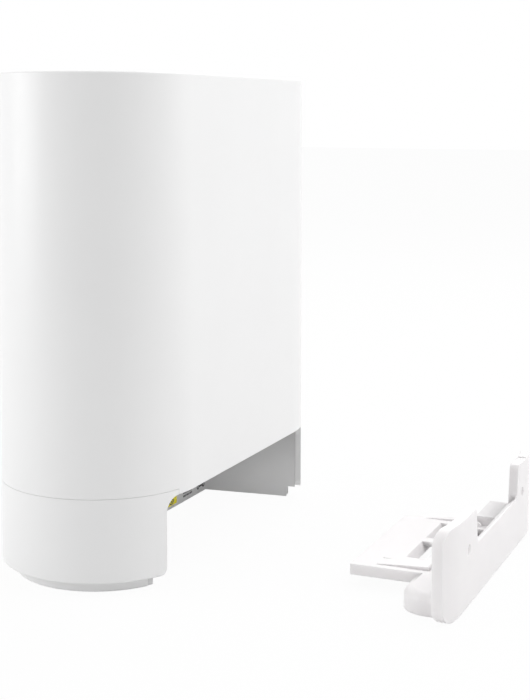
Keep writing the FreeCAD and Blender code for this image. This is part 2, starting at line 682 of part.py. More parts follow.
def network_jacks():
    """Four network sockets, each a housing with a plug opening and a latch slot."""
    names = ("wan_jack", "lan_jack_1", "lan_jack_2", "lan_jack_3")
    contacts = []
    opening_low = "(port_height - plug_height / 2)"
    opening_high = "(port_height + plug_height / 2)"
    for (x, z, width, height), name in zip(sockets(), names):
        body = block(name + "_body", span(x, f"{width} / 2"), (BOARD_FACE, SOCKET_FACE),
                     span(z, f"{height} / 2"))
        deep = f"({SOCKET_FACE} - plug_depth)"
        opening = block(name + "_opening", span(x, "plug_width / 2"), (deep, f"{SOCKET_FACE} + overcut"),
                        (opening_low, opening_high))
        latch = block(name + "_latch", span(x, "latch_width / 2"), (deep, f"{SOCKET_FACE} + overcut"),
                      (f"{opening_low} - latch_height", opening_low))
        step = block(name + "_step", span(x, "step_width / 2"), (deep, f"{SOCKET_FACE} + overcut"),
                     (f"{opening_low} - latch_height - step_height", opening_low))
        finish(cut(name + "_cut", body, [opening, latch, step]), name)
        for pin in range(CONTACTS):
            middle = f"{x} + ({pin} - {(CONTACTS - 1) / 2}) * contact_pitch"
            contacts.append(block(f"{name}_contact{pin}", span(middle, "contact_width / 2"),
                                  (deep, f"{SOCKET_FACE} - contact_back"),
                                  (f"{opening_high} - contact_height", opening_high)))
    finish(grouped("contacts", contacts), "jack_contacts")


def power_inlet():
    """Barrel socket for the power plug, and its centre pin."""
    body = block("inlet_body", span("power_inlet_x", "inlet_width / 2"),
                 (BOARD_FACE, SOCKET_FACE), span("port_height", "inlet_height / 2"))
    deep = f"({SOCKET_FACE} - inlet_depth)"
    bore = rod("inlet_hole", "Y", ("power_inlet_x", "port_height"), "inlet_bore",
               deep, f"{SOCKET_FACE} + overcut")
    finish(cut("inlet_cut", body, [bore]), "power_inlet")
    pin = rod("inlet_centre", "Y", ("power_inlet_x", "port_height"), "inlet_pin",
              deep, f"{SOCKET_FACE} - pin_back")
    finish(pin, "power_inlet_pin")


def usb_socket():
    """Metal shell of the USB socket and the plastic tongue inside it."""
    middle = ("usb_x", "port_height")
    body = block("usb_body", span(middle[0], "usb_width / 2"), (BOARD_FACE, SOCKET_FACE),
                 span(middle[1], "usb_height / 2"))
    deep = f"({SOCKET_FACE} - usb_depth)"
    hole = block("usb_hole", span(middle[0], "usb_width / 2 - usb_shell"),
                 (deep, f"{SOCKET_FACE} + overcut"), span(middle[1], "usb_height / 2 - usb_shell"))
    finish(cut("usb_cut", body, [hole]), "usb_socket")
    tongue_low = f"({middle[1]} + usb_height / 2 - usb_shell - usb_tongue)"
    tongue = block("usb_tongue_block", span(middle[0], "usb_width / 2 - 2 * usb_shell"),
                   (deep, f"{SOCKET_FACE} - tongue_back"), (tongue_low, f"{tongue_low} + usb_tongue"))
    finish(tongue, "usb_tongue")


def buttons():
    """Push buttons: a cap through the wall, a collar behind it and a stem to the switch."""
    switches = []
    half = "switch_size / 2"
    for name, x, z, radius, travel, front in BUTTONS:
        rear = f"({BOARD_FACE} + switch_depth + switch_gap + {travel})"
        collar_front = f"({PORT_REAR} - collar_gap)"
        cap = rod(name + "_cap", "Y", (x, z), radius, f"{collar_front} - collar_length", front)
        collar = rod(name + "_collar", "Y", (x, z), f"{radius} + collar_wall",
                     f"{collar_front} - collar_length", collar_front)
        stem = rod(name + "_stem", "Y", (x, z), f"{radius} * stem_share", rear, collar_front)
        finish(fused(name + "_whole", [cap, collar, stem]), name)
        switches.append(block(name + "_switch", span(x, half),
                              (BOARD_FACE, f"{BOARD_FACE} + switch_depth"), span(z, half)))
    finish(grouped("switches", switches), "push_switches")


def wan_label():
    """Thin colour patch on the port wall under the first socket."""
    patch = block("label_patch", span("wan_x", "label_width / 2"),
                  (PORT_FACE, f"{PORT_FACE} + label_film"), ("label_low", "label_high"))
    finish(patch, "wan_label")


# ---------------------------------------------------------------- electronics
EAR_LEVELS = ("ear_low", f"({BOARD_HIGH} - ear_drop)")


def main_board():
    """Upright circuit board, with holes for its screws."""
    board = block("board", span("0", BOARD_HALF), (BOARD_REAR, BOARD_FACE),
                  ("board_low", BOARD_HIGH))
    holes = [rod(f"board_hole{number}", "Y", place, "board_screw + screw_slack",
                 f"{BOARD_REAR} - overcut", f"{BOARD_FACE} + overcut")
             for number, place in enumerate(board_screw_places())]
    finish(cut("board_cut", board, holes), "main_board")


def board_screw_places():
    return [(x, z) for x in both(f"({COLUMN_INNER} - ear_reach)") for z in EAR_LEVELS]


def shield_cans():
    """Two pressed cans over the radio and processor chips, with their thermal pads."""
    pads = []
    front = f"({BOARD_FACE} + can_depth)"
    for name, x in zip(("radio_shield", "processor_shield"), both("can_spacing / 2")):
        outside = block(name + "_box", span(x, "can_width / 2"), (BOARD_FACE, front),
                        span("can_level", "can_height / 2"))
        inside = block(name + "_inside", span(x, "can_width / 2 - can_sheet"),
                       (f"{BOARD_FACE} - overcut", f"{front} - can_sheet"),
                       span("can_level", "can_height / 2 - can_sheet"))
        finish(cut(name + "_cut", outside, [inside]), name)
        pads.append(block(name + "_pad", span(x, "can_width / 2 - thermal_inset"),
                          (front, f"{front} + thermal_thick"),
                          span("can_level", "can_height / 2 - thermal_inset")))
    finish(grouped("thermal", pads), "thermal_pads")


def heat_sink():
    """Finned aluminium plate on the thermal pads."""
    rear = f"({BOARD_FACE} + can_depth + thermal_thick)"
    sink = doc.addObject("PartDesign::Body", "sink")
    plan = level_sketch(sink, "sink_plate", "sink_low")
    front = f"({rear} + sink_base)"
    draw_polygon(plan, (("-sink_half", rear), ("sink_half", rear),
                        ("sink_half", front), ("-sink_half", front)))
    pad(sink, plan, f"{SINK_HIGH} - sink_low")
    fin_plan = level_sketch(sink, "sink_fin", "sink_low")
    tip = f"({front} + fin_height)"
    draw_polygon(fin_plan, (("-sink_half", front), ("-sink_half + fin_thick", front),
                            ("-sink_half + fin_thick", tip), ("-sink_half", tip)))
    fin = pad(sink, fin_plan, f"{SINK_HIGH} - sink_low")
    doc.recompute()
    row = sink.newObject("PartDesign::LinearPattern", "sink_row")
    row.Originals = [fin]
    row.Direction = (fin_plan, ["H_Axis"])
    bind(row, "Occurrences", "fin_count")
    bind(row, "Length", "2 * sink_half - fin_thick")
    sink.Tip = row
    finish(sink, "heat_sink")


def status_light():
    """Light chip on the board's front side, and the clear pipe to the casing's window."""
    chip = block("led_chip", span("0", "led_size / 2"), (f"{BOARD_REAR} - led_depth", BOARD_REAR),
                 span("light_level", "led_size / 2"))
    finish(chip, "status_led")
    pipe = block("pipe", span("0", "light_width / 2"), ("-body_radius", f"{BOARD_REAR} - led_depth"),
                 span("light_level", "light_height / 2"))
    finish(pipe, "light_pipe")


def inner_frame():
    """Plastic carrier: two grooved columns, a lower and an upper tie, ears and bosses."""
    tie_high = f"({LOWER_TIE} + tie_thick)"
    front = f"-{FRAME_FRONT}"
    pieces = [
        block("lower_tie", span("0", FRAME_HALF), (front, f"{front} + tie_depth"),
              (LOWER_TIE, tie_high)),
    ]
    tools = []
    for number, stretch in enumerate(mirrored(COLUMN_INNER, FRAME_HALF)):
        pieces.append(block(f"column{number}", stretch, (front, f"{front} + column_depth"),
                            (LOWER_TIE, FRAME_TOP)))
    for number, stretch in enumerate(mirrored(COLUMN_INNER, f"{COLUMN_INNER} + groove_depth")):
        tools.append(block(f"groove{number}", stretch, (f"{BOARD_REAR} - slack", f"{BOARD_FACE} + slack"),
                           (tie_high, f"{BOARD_HIGH} + slack")))
    for number, place in enumerate(both(f"({BODY_END} - foot_pad_back)")):
        pieces.append(block(f"lobe{number}", span(place, "lobe_half"),
                            (f"{front} + tie_depth - tie_thick", "-foot_pad_y + lobe_half"),
                            (LOWER_TIE, tie_high)))
    upper = block("upper_tie", span("0", FRAME_HALF), (front, "tie_rear"),
                  (f"{FRAME_TOP} - tie_thick", FRAME_TOP))
    opening = block("upper_opening", span("0", f"{FRAME_HALF} - top_bar"),
                    (f"{front} + top_bar", "tie_rear - top_bar"),
                    (f"{FRAME_TOP} - tie_thick - overcut", f"{FRAME_TOP} + overcut"))
    pieces.append(cut("upper_tie_cut", upper, [opening]))
    ears = mirrored(f"{COLUMN_INNER} - ear_reach - ear_length / 2", f"{COLUMN_INNER} + column_width / 2")
    for number, (stretch, z) in enumerate((ear, z) for ear in ears for z in EAR_LEVELS):
        pieces.append(block(f"ear{number}", stretch, (f"{BOARD_REAR} - ear_depth", BOARD_REAR),
                            span(z, "ear_length / 2")))
    for number, place in enumerate(board_screw_places()):
        tools.append(rod(f"ear_hole{number}", "Y", place, "board_screw + screw_slack",
                         f"{BOARD_REAR} - ear_depth - overcut", f"{BOARD_REAR} + overcut"))
    for number, place in enumerate(foot_screw_places()):
        pieces.append(rod(f"boss{number}", "Z", place, "boss_radius",
                          LOWER_TIE, f"{tie_high} + boss_height"))
        tools.append(rod(f"boss_hole{number}", "Z", place, "screw_radius + screw_slack",
                         "0", f"{tie_high} + boss_height + overcut"))
    finish(cut("frame_cut", fused("frame_body", pieces), tools), "inner_frame")


def aerials():
    """Two upright and two flat aerial boards on the frame."""
    for name, side in (("right_aerial", "1"), ("left_aerial", "-1")):
        middle = f"({side} * ({FRAME_HALF} + slack + aerial_thick / 2))"
        strip = block(name + "_strip", span(middle, "aerial_thick / 2"),
                      (f"-{FRAME_FRONT}", "aerial_rear"), ("aerial_low", f"{FRAME_TOP} - aerial_drop"))
        finish(strip, name)
    for name, side in (("top_right_aerial", "1"), ("top_left_aerial", "-1")):
        middle = f"({side} * (aerial_inner + aerial_outer) / 2)"
        strip = block(name + "_strip", span(middle, "(aerial_outer - aerial_inner) / 2"),
                      (f"-{FRAME_FRONT}", f"-{FRAME_FRONT} + aerial_width"),
                      (FRAME_TOP, f"{FRAME_TOP} + aerial_thick"))
        finish(strip, name)


def screws():
    """Screws up through the foot, and screws that hold the board."""
    foot = []
    for number, place in enumerate(foot_screw_places()):
        low = "(foot_bottom + head_sink)"
        head = rod(f"foot_head{number}", "Z", place, "screw_head", low, f"{low} + head_height")
        shank = rod(f"foot_shank{number}", "Z", place, "screw_radius", low,
                    f"{LOWER_TIE} + tie_thick + boss_height")
        recess = rod(f"foot_recess{number}", "Z", place, "screw_recess", low,
                     f"{low} + head_height / 2")
        foot.append(cut(f"foot_screw{number}", fused(f"foot_screw_body{number}", [head, shank]),
                        [recess]))
    finish(grouped("foot_screw_set", foot), "foot_screws")
    board = []
    for number, (x, z) in enumerate(board_screw_places()):
        head = rod(f"board_head{number}", "Y", (x, z), "board_screw_head",
                   BOARD_FACE, f"{BOARD_FACE} + board_screw_height")
        shank = rod(f"board_shank{number}", "Y", (x, z), "board_screw",
                    f"{BOARD_REAR} - ear_depth", BOARD_FACE)
        board.append(fused(f"board_screw{number}", [head, shank]))
    finish(grouped("board_screw_set", board), "board_screws")


# ---------------------------------------------------------------- cable cover
# The cover is laid out in its seat and then stands away from it along Y.
PLATE_INNER = "(body_radius - cover_wall)"
COVER_HIGH = "(bay_top - cover_slack)"
COVER_HALF = "(bay_mouth_half - cover_end_slack)"
EXIT = span("-notch_shift", "notch_half")
EXIT_TOP = span("-notch_shift", "notch_half + notch_flare")


def behind(distance):
    """A place that far in front of the plate's outer face, towards the ports."""
    return f"(body_radius - ({distance}))"


def cover_plate():
    """Rear plate: follows the oval outline, with round corners, cable exit and holes."""
    ring = oval_body("plate_ring", "body_radius", "cover_bottom", COVER_HIGH)
    hollow(ring, "plate_inside", PLATE_INNER, "cover_bottom", COVER_HIGH)
    outline = doc.addObject("PartDesign::Body", "plate_outline")
    sketch = outline.newObject("Sketcher::SketchObject", "plate_profile")
    plane = next(item for item in outline.Origin.OriginFeatures if item.Role == "XZ_Plane")
    sketch.AttachmentSupport = (plane, [""])
    sketch.MapMode = "FlatFace"
    draw_polygon(sketch, (
        (f"-{COVER_HALF}", "cover_bottom"), (COVER_HALF, "cover_bottom"),
        (COVER_HALF, COVER_HIGH), (EXIT_TOP[1], COVER_HIGH), (EXIT[1], "notch_bottom"),
        (EXIT[0], "notch_bottom"), (EXIT_TOP[0], COVER_HIGH), (f"-{COVER_HALF}", COVER_HIGH),
    ))
    bar = pad(outline, sketch, BEYOND)
    bar.Reversed = True
    round_edges(outline, "plate_corners", "cover_corner",
                lambda box: near(abs(box.XMin), size("bay_mouth_half") - size("cover_end_slack"))
                and near(box.XLength, 0) and near(box.ZLength, 0))
    middle = -size("notch_shift")
    half = size("notch_half")
    round_edges(outline, "plate_notch_corners", "notch_round",
                lambda box: near(abs(box.XMin - middle), half)
                and near(box.ZMin, size("notch_bottom")) and near(box.XLength, 0)
                and near(box.ZLength, 0))
    round_edges(outline, "plate_ear_corners", "ear_corner",
                lambda box: near(abs(box.XMin - middle), half + size("notch_flare"))
                and near(box.XLength, 0) and near(box.ZLength, 0))
    lower = block("plate_step", span("0", "step_half"), ("0", BEYOND),
                  (f"{COVER_HIGH} - step_sink", f"{COVER_HIGH} + overcut"))
    slope = wedge("plate_exit_slope", EXIT, (PLATE_INNER, "body_radius - notch_lip"),
                  ("notch_bottom - notch_drop", "notch_bottom + overcut"),
                  ("notch_bottom", "notch_bottom + overcut"))
    return cut("plate", shared("plate_blank", [ring, outline]), [lower, slope])


def ledge_body(name, inset, low, high):
    """The ledge's plan with round corners towards the ports, set in by a wall or by 0."""
    half = f"(ledge_half - {inset})"
    y = (f"{behind('ledge_depth')} + {inset}", f"{PLATE_INNER} + cover_wall / 2")
    body = doc.addObject("PartDesign::Body", name)
    sketch = level_sketch(body, name + "_plan", low)
    draw_polygon(sketch, ((f"-{half}", y[0]), (half, y[0]), (half, y[1]), (f"-{half}", y[1])))
    pad(body, sketch, f"{high} - {low}")
    front = size("body_radius") - size("ledge_depth")
    round_edges(body, name + "_corners", f"ledge_corner - {inset}",
                lambda box: box.YMin < front + size("ledge_corner") / 2
                and near(box.YLength, 0) and near(box.XLength, 0))
    return body


def cover_ledge():
    """Ledge behind the plate and the thinner tray in front of it."""
    ledge = ledge_body("ledge", "0", "cover_bottom", "ledge_top")
    round_edges(ledge, "ledge_rim", "ledge_round",
                lambda box: near(box.ZMin, size("ledge_top"))
                and box.YMin < size("body_radius") - size("cover_wall"))
    tray = doc.addObject("PartDesign::Body", "tray")
    plan = level_sketch(tray, "tray_plan", "ledge_top - tray_thick")
    front = f"{PORT_FACE} + tray_clear"
    rear = f"{behind('ledge_depth')} + ledge_round"
    draw_polygon(plan, (("-tray_left", front), ("tray_right", front), ("tray_right", rear),
                        ("-left_arm_outer", rear), ("-left_arm_outer", behind("arm_root"))))
    pad(tray, plan, "tray_thick")
    return ledge, tray


ARM_STRETCHES = (("right_arm_inner", "right_arm_outer"), ("-left_arm_outer", "-left_arm_inner"))


def latch_arms():
    """Sprung arms that rise out of the tray, as wedges along Y."""
    arms = []
    slots = []
    for number, (low, high) in enumerate(ARM_STRETCHES):
        arms.append(wedge(f"arm{number}", (low, high), (behind("arm_root"), behind("arm_tip")),
                          ("ledge_top - tray_thick / 2", "ledge_top"),
                          ("ledge_top - tray_thick / 2 + arm_rise", "ledge_top + arm_rise")))
        slots.append(block(f"arm_room{number}", (f"{low} - arm_slot", f"{high} + arm_slot"),
                           (behind("arm_root"), behind("arm_tip - arm_slot")),
                           ("0", "ledge_top + overcut")))
    return arms, slots


def lead_guide():
    """Raised guide at the power inlet's end of the ledge, and the round rib on its free end."""
    y = (behind("guide_depth"), f"{PLATE_INNER} + cover_wall / 2")
    bar = block("guide_bar", ("guide_inset - ledge_half", "-guide_tip"), y,
                ("ledge_top - ledge_wall / 2", "guide_top"))
    rib = rod("guide_rib_bar", "X", (behind("guide_rib_behind"), "ledge_top"), "guide_rib",
              "-guide_tip - guide_rib", "-guide_rib_end")
    return [bar, rib]


def cover_openings():
    """Windows in the tray, hollows under the ledge, a slot for a cable tie and screw holes."""
    through = ("0", "ledge_top + overcut")
    tools = []
    windows = span("-window_shift", "window_half")
    foot = behind("window_rear - window_lean")
    tools.append(block("window_hole", windows, (foot, behind("ledge_depth")), through))
    tools.append(wedge("window_slope", windows, (behind("window_rear"), foot),
                       ("ledge_top", "ledge_top + overcut"),
                       ("ledge_top - tray_thick", "ledge_top + overcut")))
    hollows = (
        ("right_arm_outer + ledge_wall", "ledge_half - ledge_wall"),
        ("ledge_wall - left_arm_inner", "right_arm_inner - ledge_wall"),
        ("ledge_wall - ledge_half", "-left_arm_outer - ledge_wall"),
    )
    rooms = [block(f"ledge_room{number}", stretch, (behind("ledge_depth"), PLATE_INNER),
                   ("0", "ledge_top - ledge_wall")) for number, stretch in enumerate(hollows)]
    core = ledge_body("ledge_core", "ledge_wall", "0", "(ledge_top - ledge_wall)")
    tools.append(shared("ledge_hollows", [core, fused("ledge_rooms", rooms)]))
    slot = (behind("tie_slot_behind + tie_slot_width / 2"),
            behind("tie_slot_behind - tie_slot_width / 2"))
    tools.append(block("tie_slot", span("tie_slot_x", "tie_slot_length / 2"), slot, through))
    for number, x in enumerate(span("-screw_hole_shift", "screw_hole_x")):
        tools.append(rod(f"plate_hole{number}", "Y", (x, "screw_hole_z"), "screw_hole",
                         f"{PLATE_INNER} - overcut", "body_radius + overcut"))
    return tools


def rear_cover():
    """Plate, ledge, tray, latch arms and lead guide in one moulding."""
    ledge, tray = cover_ledge()
    arms, arm_slots = latch_arms()
    blank = fused("cover_blank", [cover_plate(), ledge, tray])
    rib = block("window_rib_bar", span("-window_shift", "window_rib / 2"),
                (behind("window_rear"), behind("ledge_depth - ledge_round")),
                ("ledge_top - rib_thick", "ledge_top"))
    open_cover = cut("cover_body", blank, cover_openings() + arm_slots)
    cover = fused("cover_whole", [open_cover, rib] + arms + lead_guide())
    bind(cover, "Placement.Base.y", "cover_away")
    finish(cover, "rear_cover")


for make in (upper_shell, lower_skirt, base_foot, rubber_pads, top_vent, port_bay, network_jacks,
             power_inlet, usb_socket, buttons, wan_label, main_board, shield_cans, heat_sink,
             status_light, inner_frame, aerials, screws, rear_cover):
    make()
doc.recompute()

# ---------------------------------------------------------------- checks and files
for item in doc.Objects:
    if {"Invalid", "Error"} & set(item.State):
        raise RuntimeError(f"{item.Name} did not build: {item.State}")
    if item.TypeId == "PartDesign::Pocket" and item.Shape.Volume > item.BaseFeature.Shape.Volume - 1e-6:
        raise RuntimeError(f"{item.Name} cuts nothing")

os.makedirs("parts", exist_ok=True)
for piece in nodes:
    if piece.Shape.isNull() or not piece.Shape.isValid():
        raise RuntimeError(f"{piece.Label} has no valid shape")
    piece.Shape.exportStep(f"parts/{piece.Label}.step")
    print(f"{piece.Label:20} {len(piece.Shape.Solids):3} solids {piece.Shape.Volume:10.1f} mm3")
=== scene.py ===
import bpy
import bmesh
import math
from mathutils import Matrix, Vector


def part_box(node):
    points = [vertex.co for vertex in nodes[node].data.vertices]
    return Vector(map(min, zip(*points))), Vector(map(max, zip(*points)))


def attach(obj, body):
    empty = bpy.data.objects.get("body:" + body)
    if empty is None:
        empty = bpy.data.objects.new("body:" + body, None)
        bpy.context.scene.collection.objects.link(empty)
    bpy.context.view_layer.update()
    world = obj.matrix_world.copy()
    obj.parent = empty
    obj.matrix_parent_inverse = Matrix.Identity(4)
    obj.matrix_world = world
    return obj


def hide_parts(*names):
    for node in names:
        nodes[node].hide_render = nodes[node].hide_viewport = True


# A wireless router: an upright white oval tower on a recessed foot, with a
# port bay low in its rear and a loose cable cover that slides into the bay.
# Metres; X runs along the tower, +Y is the port side, Z is up.

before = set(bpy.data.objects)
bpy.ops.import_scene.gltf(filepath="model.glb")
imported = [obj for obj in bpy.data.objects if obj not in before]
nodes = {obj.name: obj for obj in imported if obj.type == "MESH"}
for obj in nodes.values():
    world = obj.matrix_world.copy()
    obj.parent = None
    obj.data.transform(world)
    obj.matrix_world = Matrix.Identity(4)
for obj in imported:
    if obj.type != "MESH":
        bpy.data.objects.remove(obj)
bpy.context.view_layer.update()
scene = bpy.context.scene

# ---------------------------------------------------------------- casing
# The sleeve of the tower: one thin-walled moulding in white ABS with a satin
# skin, open at both ends. It snaps down over the lip of the skirt, and its
# tongue hangs over the mouth of the port bay.


def moulded_skin():
    """Skin of a moulding: faint clouding in its colour, uneven gloss, fine spark grain."""
    group = bpy.data.node_groups.new("moulded_skin", "ShaderNodeTree")
    for name, kind in (("Colour", "Color"), ("Shade", "Color"), ("Grain", "Float"),
                       ("Gloss", "Float"), ("Matt", "Float")):
        group.interface.new_socket(name, in_out="INPUT", socket_type="NodeSocket" + kind)
    for name, kind in (("Colour", "Color"), ("Roughness", "Float"), ("Height", "Float")):
        group.interface.new_socket(name, in_out="OUTPUT", socket_type="NodeSocket" + kind)
    add = group.nodes.new
    given, out = add("NodeGroupInput"), add("NodeGroupOutput")
    place = add("ShaderNodeTexCoord")
    clouds, gloss, grain = (add("ShaderNodeTexNoise") for _ in range(3))
    tint, level = add("ShaderNodeMix"), add("ShaderNodeMapRange")
    tint.data_type = "RGBA"
    for noise, scale, detail in ((clouds, 22, 3), (gloss, 160, 4), (grain, 2500, 2)):
        noise.inputs["Scale"].default_value = scale
        noise.inputs["Detail"].default_value = detail
        group.links.new(place.outputs["Object"], noise.inputs["Vector"])
    link = group.links.new
    link(given.outputs["Grain"], grain.inputs["Scale"])
    link(clouds.outputs["Fac"], tint.inputs["Factor"])
    link(given.outputs["Colour"], tint.inputs["A"])
    link(given.outputs["Shade"], tint.inputs["B"])
    link(gloss.outputs["Fac"], level.inputs["Value"])
    level.inputs["From Min"].default_value = 0.3
    level.inputs["From Max"].default_value = 0.7
    link(given.outputs["Gloss"], level.inputs["To Min"])
    link(given.outputs["Matt"], level.inputs["To Max"])
    link(tint.outputs["Result"], out.inputs["Colour"])
    link(level.outputs["Result"], out.inputs["Roughness"])
    link(grain.outputs["Fac"], out.inputs["Height"])
    return group


skin = moulded_skin()
through_depth = 0.002


def blank_material(name):
    """A new material, its node tree and its shader."""
    material = bpy.data.materials.new(name)
    material.use_nodes = True
    return material, material.node_tree, material.node_tree.nodes["Principled BSDF"]


def moulding(name, colour, shade, gloss, matt, grain=2500, depth=0.00001, specular=0.5,
             through=0):
    """A moulded plastic or rubber. through is the share of light that passes inside it."""
    material, tree, shader = blank_material(name)
    surface = tree.nodes.new("ShaderNodeGroup")
    surface.node_tree = skin
    surface.inputs["Colour"].default_value = (*colour, 1)
    surface.inputs["Shade"].default_value = (*shade, 1)
    surface.inputs["Grain"].default_value = grain
    surface.inputs["Gloss"].default_value = gloss
    surface.inputs["Matt"].default_value = matt
    bump = tree.nodes.new("ShaderNodeBump")
    bump.inputs["Distance"].default_value = depth
    tree.links.new(surface.outputs["Height"], bump.inputs["Height"])
    tree.links.new(surface.outputs["Colour"], shader.inputs["Base Color"])
    tree.links.new(surface.outputs["Roughness"], shader.inputs["Roughness"])
    tree.links.new(bump.outputs["Normal"], shader.inputs["Normal"])
    shader.inputs["Specular IOR Level"].default_value = specular
    shader.inputs["Subsurface Weight"].default_value = through
    shader.inputs["Subsurface Radius"].default_value = (1, 1, 1)
    shader.inputs["Subsurface Scale"].default_value = through_depth
    return material


def dress(piece, material):
    """Gives a piece one material all over."""
    piece.data.materials.clear()
    piece.data.materials.append(material)


def clad(names, material):
    """Puts a material on CAD sub-parts that keep their own shape."""
    for name in names:
        for holder in nodes[name].material_slots:
            holder.material = material


def made(shape, name):
    """A new object from a bmesh, which is freed."""
    mesh = bpy.data.meshes.new(name)
    shape.to_mesh(mesh)
    shape.free()
    piece = bpy.data.objects.new(name, mesh)
    scene.collection.objects.link(piece)
    return piece


sharp_angle, one_plane = math.radians(25), math.radians(1)


def softened(name, width, body, material):
    """A moulding with its outer edges rounded off, in place of its CAD sub-part."""
    shape = bmesh.new()
    shape.from_mesh(nodes[name].data)
    bmesh.ops.remove_doubles(shape, verts=shape.verts, dist=1e-6)
    bmesh.ops.dissolve_limit(shape, angle_limit=one_plane, verts=shape.verts, edges=shape.edges)
    edges = [edge for edge in shape.edges
             if edge.is_manifold and edge.is_convex and edge.calc_face_angle() > sharp_angle]
    bmesh.ops.bevel(shape, geom=edges, offset=width, offset_type="OFFSET", segments=3,
                    profile=0.5, affect="EDGES", clamp_overlap=True, material=-1)
    for face in shape.faces:
        face.smooth = True
    piece = made(shape, name + "_moulded")
    piece.modifiers.new("even_shading", "WEIGHTED_NORMAL").keep_sharp = True
    dress(piece, material)
    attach(piece, body)
    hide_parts(name)


casing_white = moulding("casing_white", (0.864, 0.864, 0.864), (0.834, 0.834, 0.835), 0.30, 0.40)
softened("upper_shell", 0.00015, "router", casing_white)

# ---------------------------------------------------------------- skirt
# A low ring in the same white ABS, round the foot. It carries the lip that the
# sleeve snaps on to, and is open at the rear for the port bay.

softened("lower_skirt", 0.00015, "router", casing_white)

# ---------------------------------------------------------------- top vent
# The slotted plate in the top, a separate white moulding that drops in below
# the rim and stands on four legs on the inner frame.

softened("top_vent", 0.0003, "router", casing_white)

# ---------------------------------------------------------------- foot
# The recessed foot, a matt white moulding that lifts the skirt off the table,
# with four round rubber pads stuck in its seats.

foot_grey = moulding("foot_grey", (0.89, 0.89, 0.89), (0.86, 0.86, 0.86), 0.45, 0.6,
                     depth=0.00002)
softened("base_foot", 0.0006, "router", foot_grey)
pad_rubber = moulding("pad_rubber", (0.035, 0.035, 0.037), (0.05, 0.05, 0.052), 0.7, 0.9,
                      grain=1500, depth=0.00004)
softened("rubber_pads", 0.0003, "router", pad_rubber)

# ---------------------------------------------------------------- port bay
# The liner of the bay: port wall, side walls and ceiling in one white
# moulding, a little more matt than the casing. Its colour is set darker than
# the casing's white as painted shade for the hollow of the bay.

bay_white = moulding("bay_white", (0.745, 0.745, 0.745), (0.715, 0.715, 0.72), 0.42, 0.55)
softened("port_bay", 0.0002, "router", bay_white)

# ---------------------------------------------------------------- network sockets
# Four board-mounted sockets in dark grey nylon. Eight gold-plated springs run
# back and down under the roof of each, and bend down at the rear.

jack_plastic = moulding("jack_plastic", (0.045, 0.046, 0.05), (0.06, 0.062, 0.066), 0.38, 0.5,
                        grain=1800)
for name in ("wan_jack", "lan_jack_1", "lan_jack_2", "lan_jack_3"):
    softened(name, 0.0002, "router", jack_plastic)


def bare_metal(name, colour, shade, low, high, streak=(40, 40, 900)):
    """A bare or plated metal with faint streaks along one direction."""
    material, tree, shader = blank_material(name)
    shader.inputs["Metallic"].default_value = 1
    place = tree.nodes.new("ShaderNodeTexCoord")
    stretch = tree.nodes.new("ShaderNodeMapping")
    stretch.inputs["Scale"].default_value = streak
    noise = tree.nodes.new("ShaderNodeTexNoise")
    noise.inputs["Scale"].default_value = 1
    noise.inputs["Detail"].default_value = 4
    tint = tree.nodes.new("ShaderNodeMix")
    tint.data_type = "RGBA"
    tint.inputs["A"].default_value = (*colour, 1)
    tint.inputs["B"].default_value = (*shade, 1)
    level = tree.nodes.new("ShaderNodeMapRange")
    level.inputs["To Min"].default_value = low
    level.inputs["To Max"].default_value = high
    bump = tree.nodes.new("ShaderNodeBump")
    bump.inputs["Distance"].default_value = 0.000006
    tree.links.new(place.outputs["Object"], stretch.inputs["Vector"])
    tree.links.new(stretch.outputs["Vector"], noise.inputs["Vector"])
    tree.links.new(noise.outputs["Fac"], tint.inputs["Factor"])
    tree.links.new(noise.outputs["Fac"], level.inputs["Value"])
    tree.links.new(noise.outputs["Fac"], bump.inputs["Height"])
    tree.links.new(tint.outputs["Result"], shader.inputs["Base Color"])
    tree.links.new(level.outputs["Result"], shader.inputs["Roughness"])
    tree.links.new(bump.outputs["Normal"], shader.inputs["Normal"])
    return material


def middle_of(name):
    """Where a node's middle is along the port wall."""
    near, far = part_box(name)
    return (near.x + far.x) / 2


contact_gold = bare_metal("contact_brass", (0.83, 0.60, 0.24), (0.75, 0.52, 0.20), 0.18, 0.3,
                          streak=(900, 60, 900))
spring_rows = 8
spring_pitch, spring_wide, spring_thick = 0.00102, 0.00045, 0.00025
low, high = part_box("jack_contacts")
roof, mouth, deep = high.z, high.y, low.y
spring_level = roof - 0.0026
spring_run = [(mouth, roof - 0.0002), (mouth - 0.0006, roof - 0.0003),
              (deep + 0.0022, spring_level), (deep + 0.0012, spring_level),
              (deep + 0.0003, roof - 0.0010)]
springs = bmesh.new()
for name in ("wan_jack", "lan_jack_1", "lan_jack_2", "lan_jack_3"):
    middle = middle_of(name)
    for row in range(spring_rows):
        x = middle + (row - (spring_rows - 1) / 2) * spring_pitch
        y, z = spring_run[0]
        ring = [springs.verts.new((x + across * spring_wide / 2, y, z + up))
                for across, up in ((-1, 0), (1, 0), (1, spring_thick), (-1, spring_thick))]
        face = springs.faces.new(ring)
        for (y0, z0), (y1, z1) in zip(spring_run, spring_run[1:]):
            moved = bmesh.ops.extrude_face_region(springs, geom=[face])["geom"]
            face = next(item for item in moved if isinstance(item, bmesh.types.BMFace))
            bmesh.ops.translate(springs, verts=face.verts, vec=(0, y1 - y0, z1 - z0))
bmesh.ops.recalc_face_normals(springs, faces=springs.faces)
spring_set = made(springs, "socket_springs")
dress(spring_set, contact_gold)
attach(spring_set, "router")
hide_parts("jack_contacts")

# ---------------------------------------------------------------- power inlet
# The barrel socket for the power plug: a black moulded block on the board
# with a nickel-plated centre pin.

black_plastic = moulding("black_plastic", (0.02, 0.02, 0.022), (0.03, 0.03, 0.032), 0.35, 0.5)
softened("power_inlet", 0.0003, "router", black_plastic)
socket_steel = bare_metal("socket_steel", (0.68, 0.68, 0.67), (0.58, 0.58, 0.58), 0.2, 0.34)
softened("power_inlet_pin", 0.0003, "router", socket_steel)

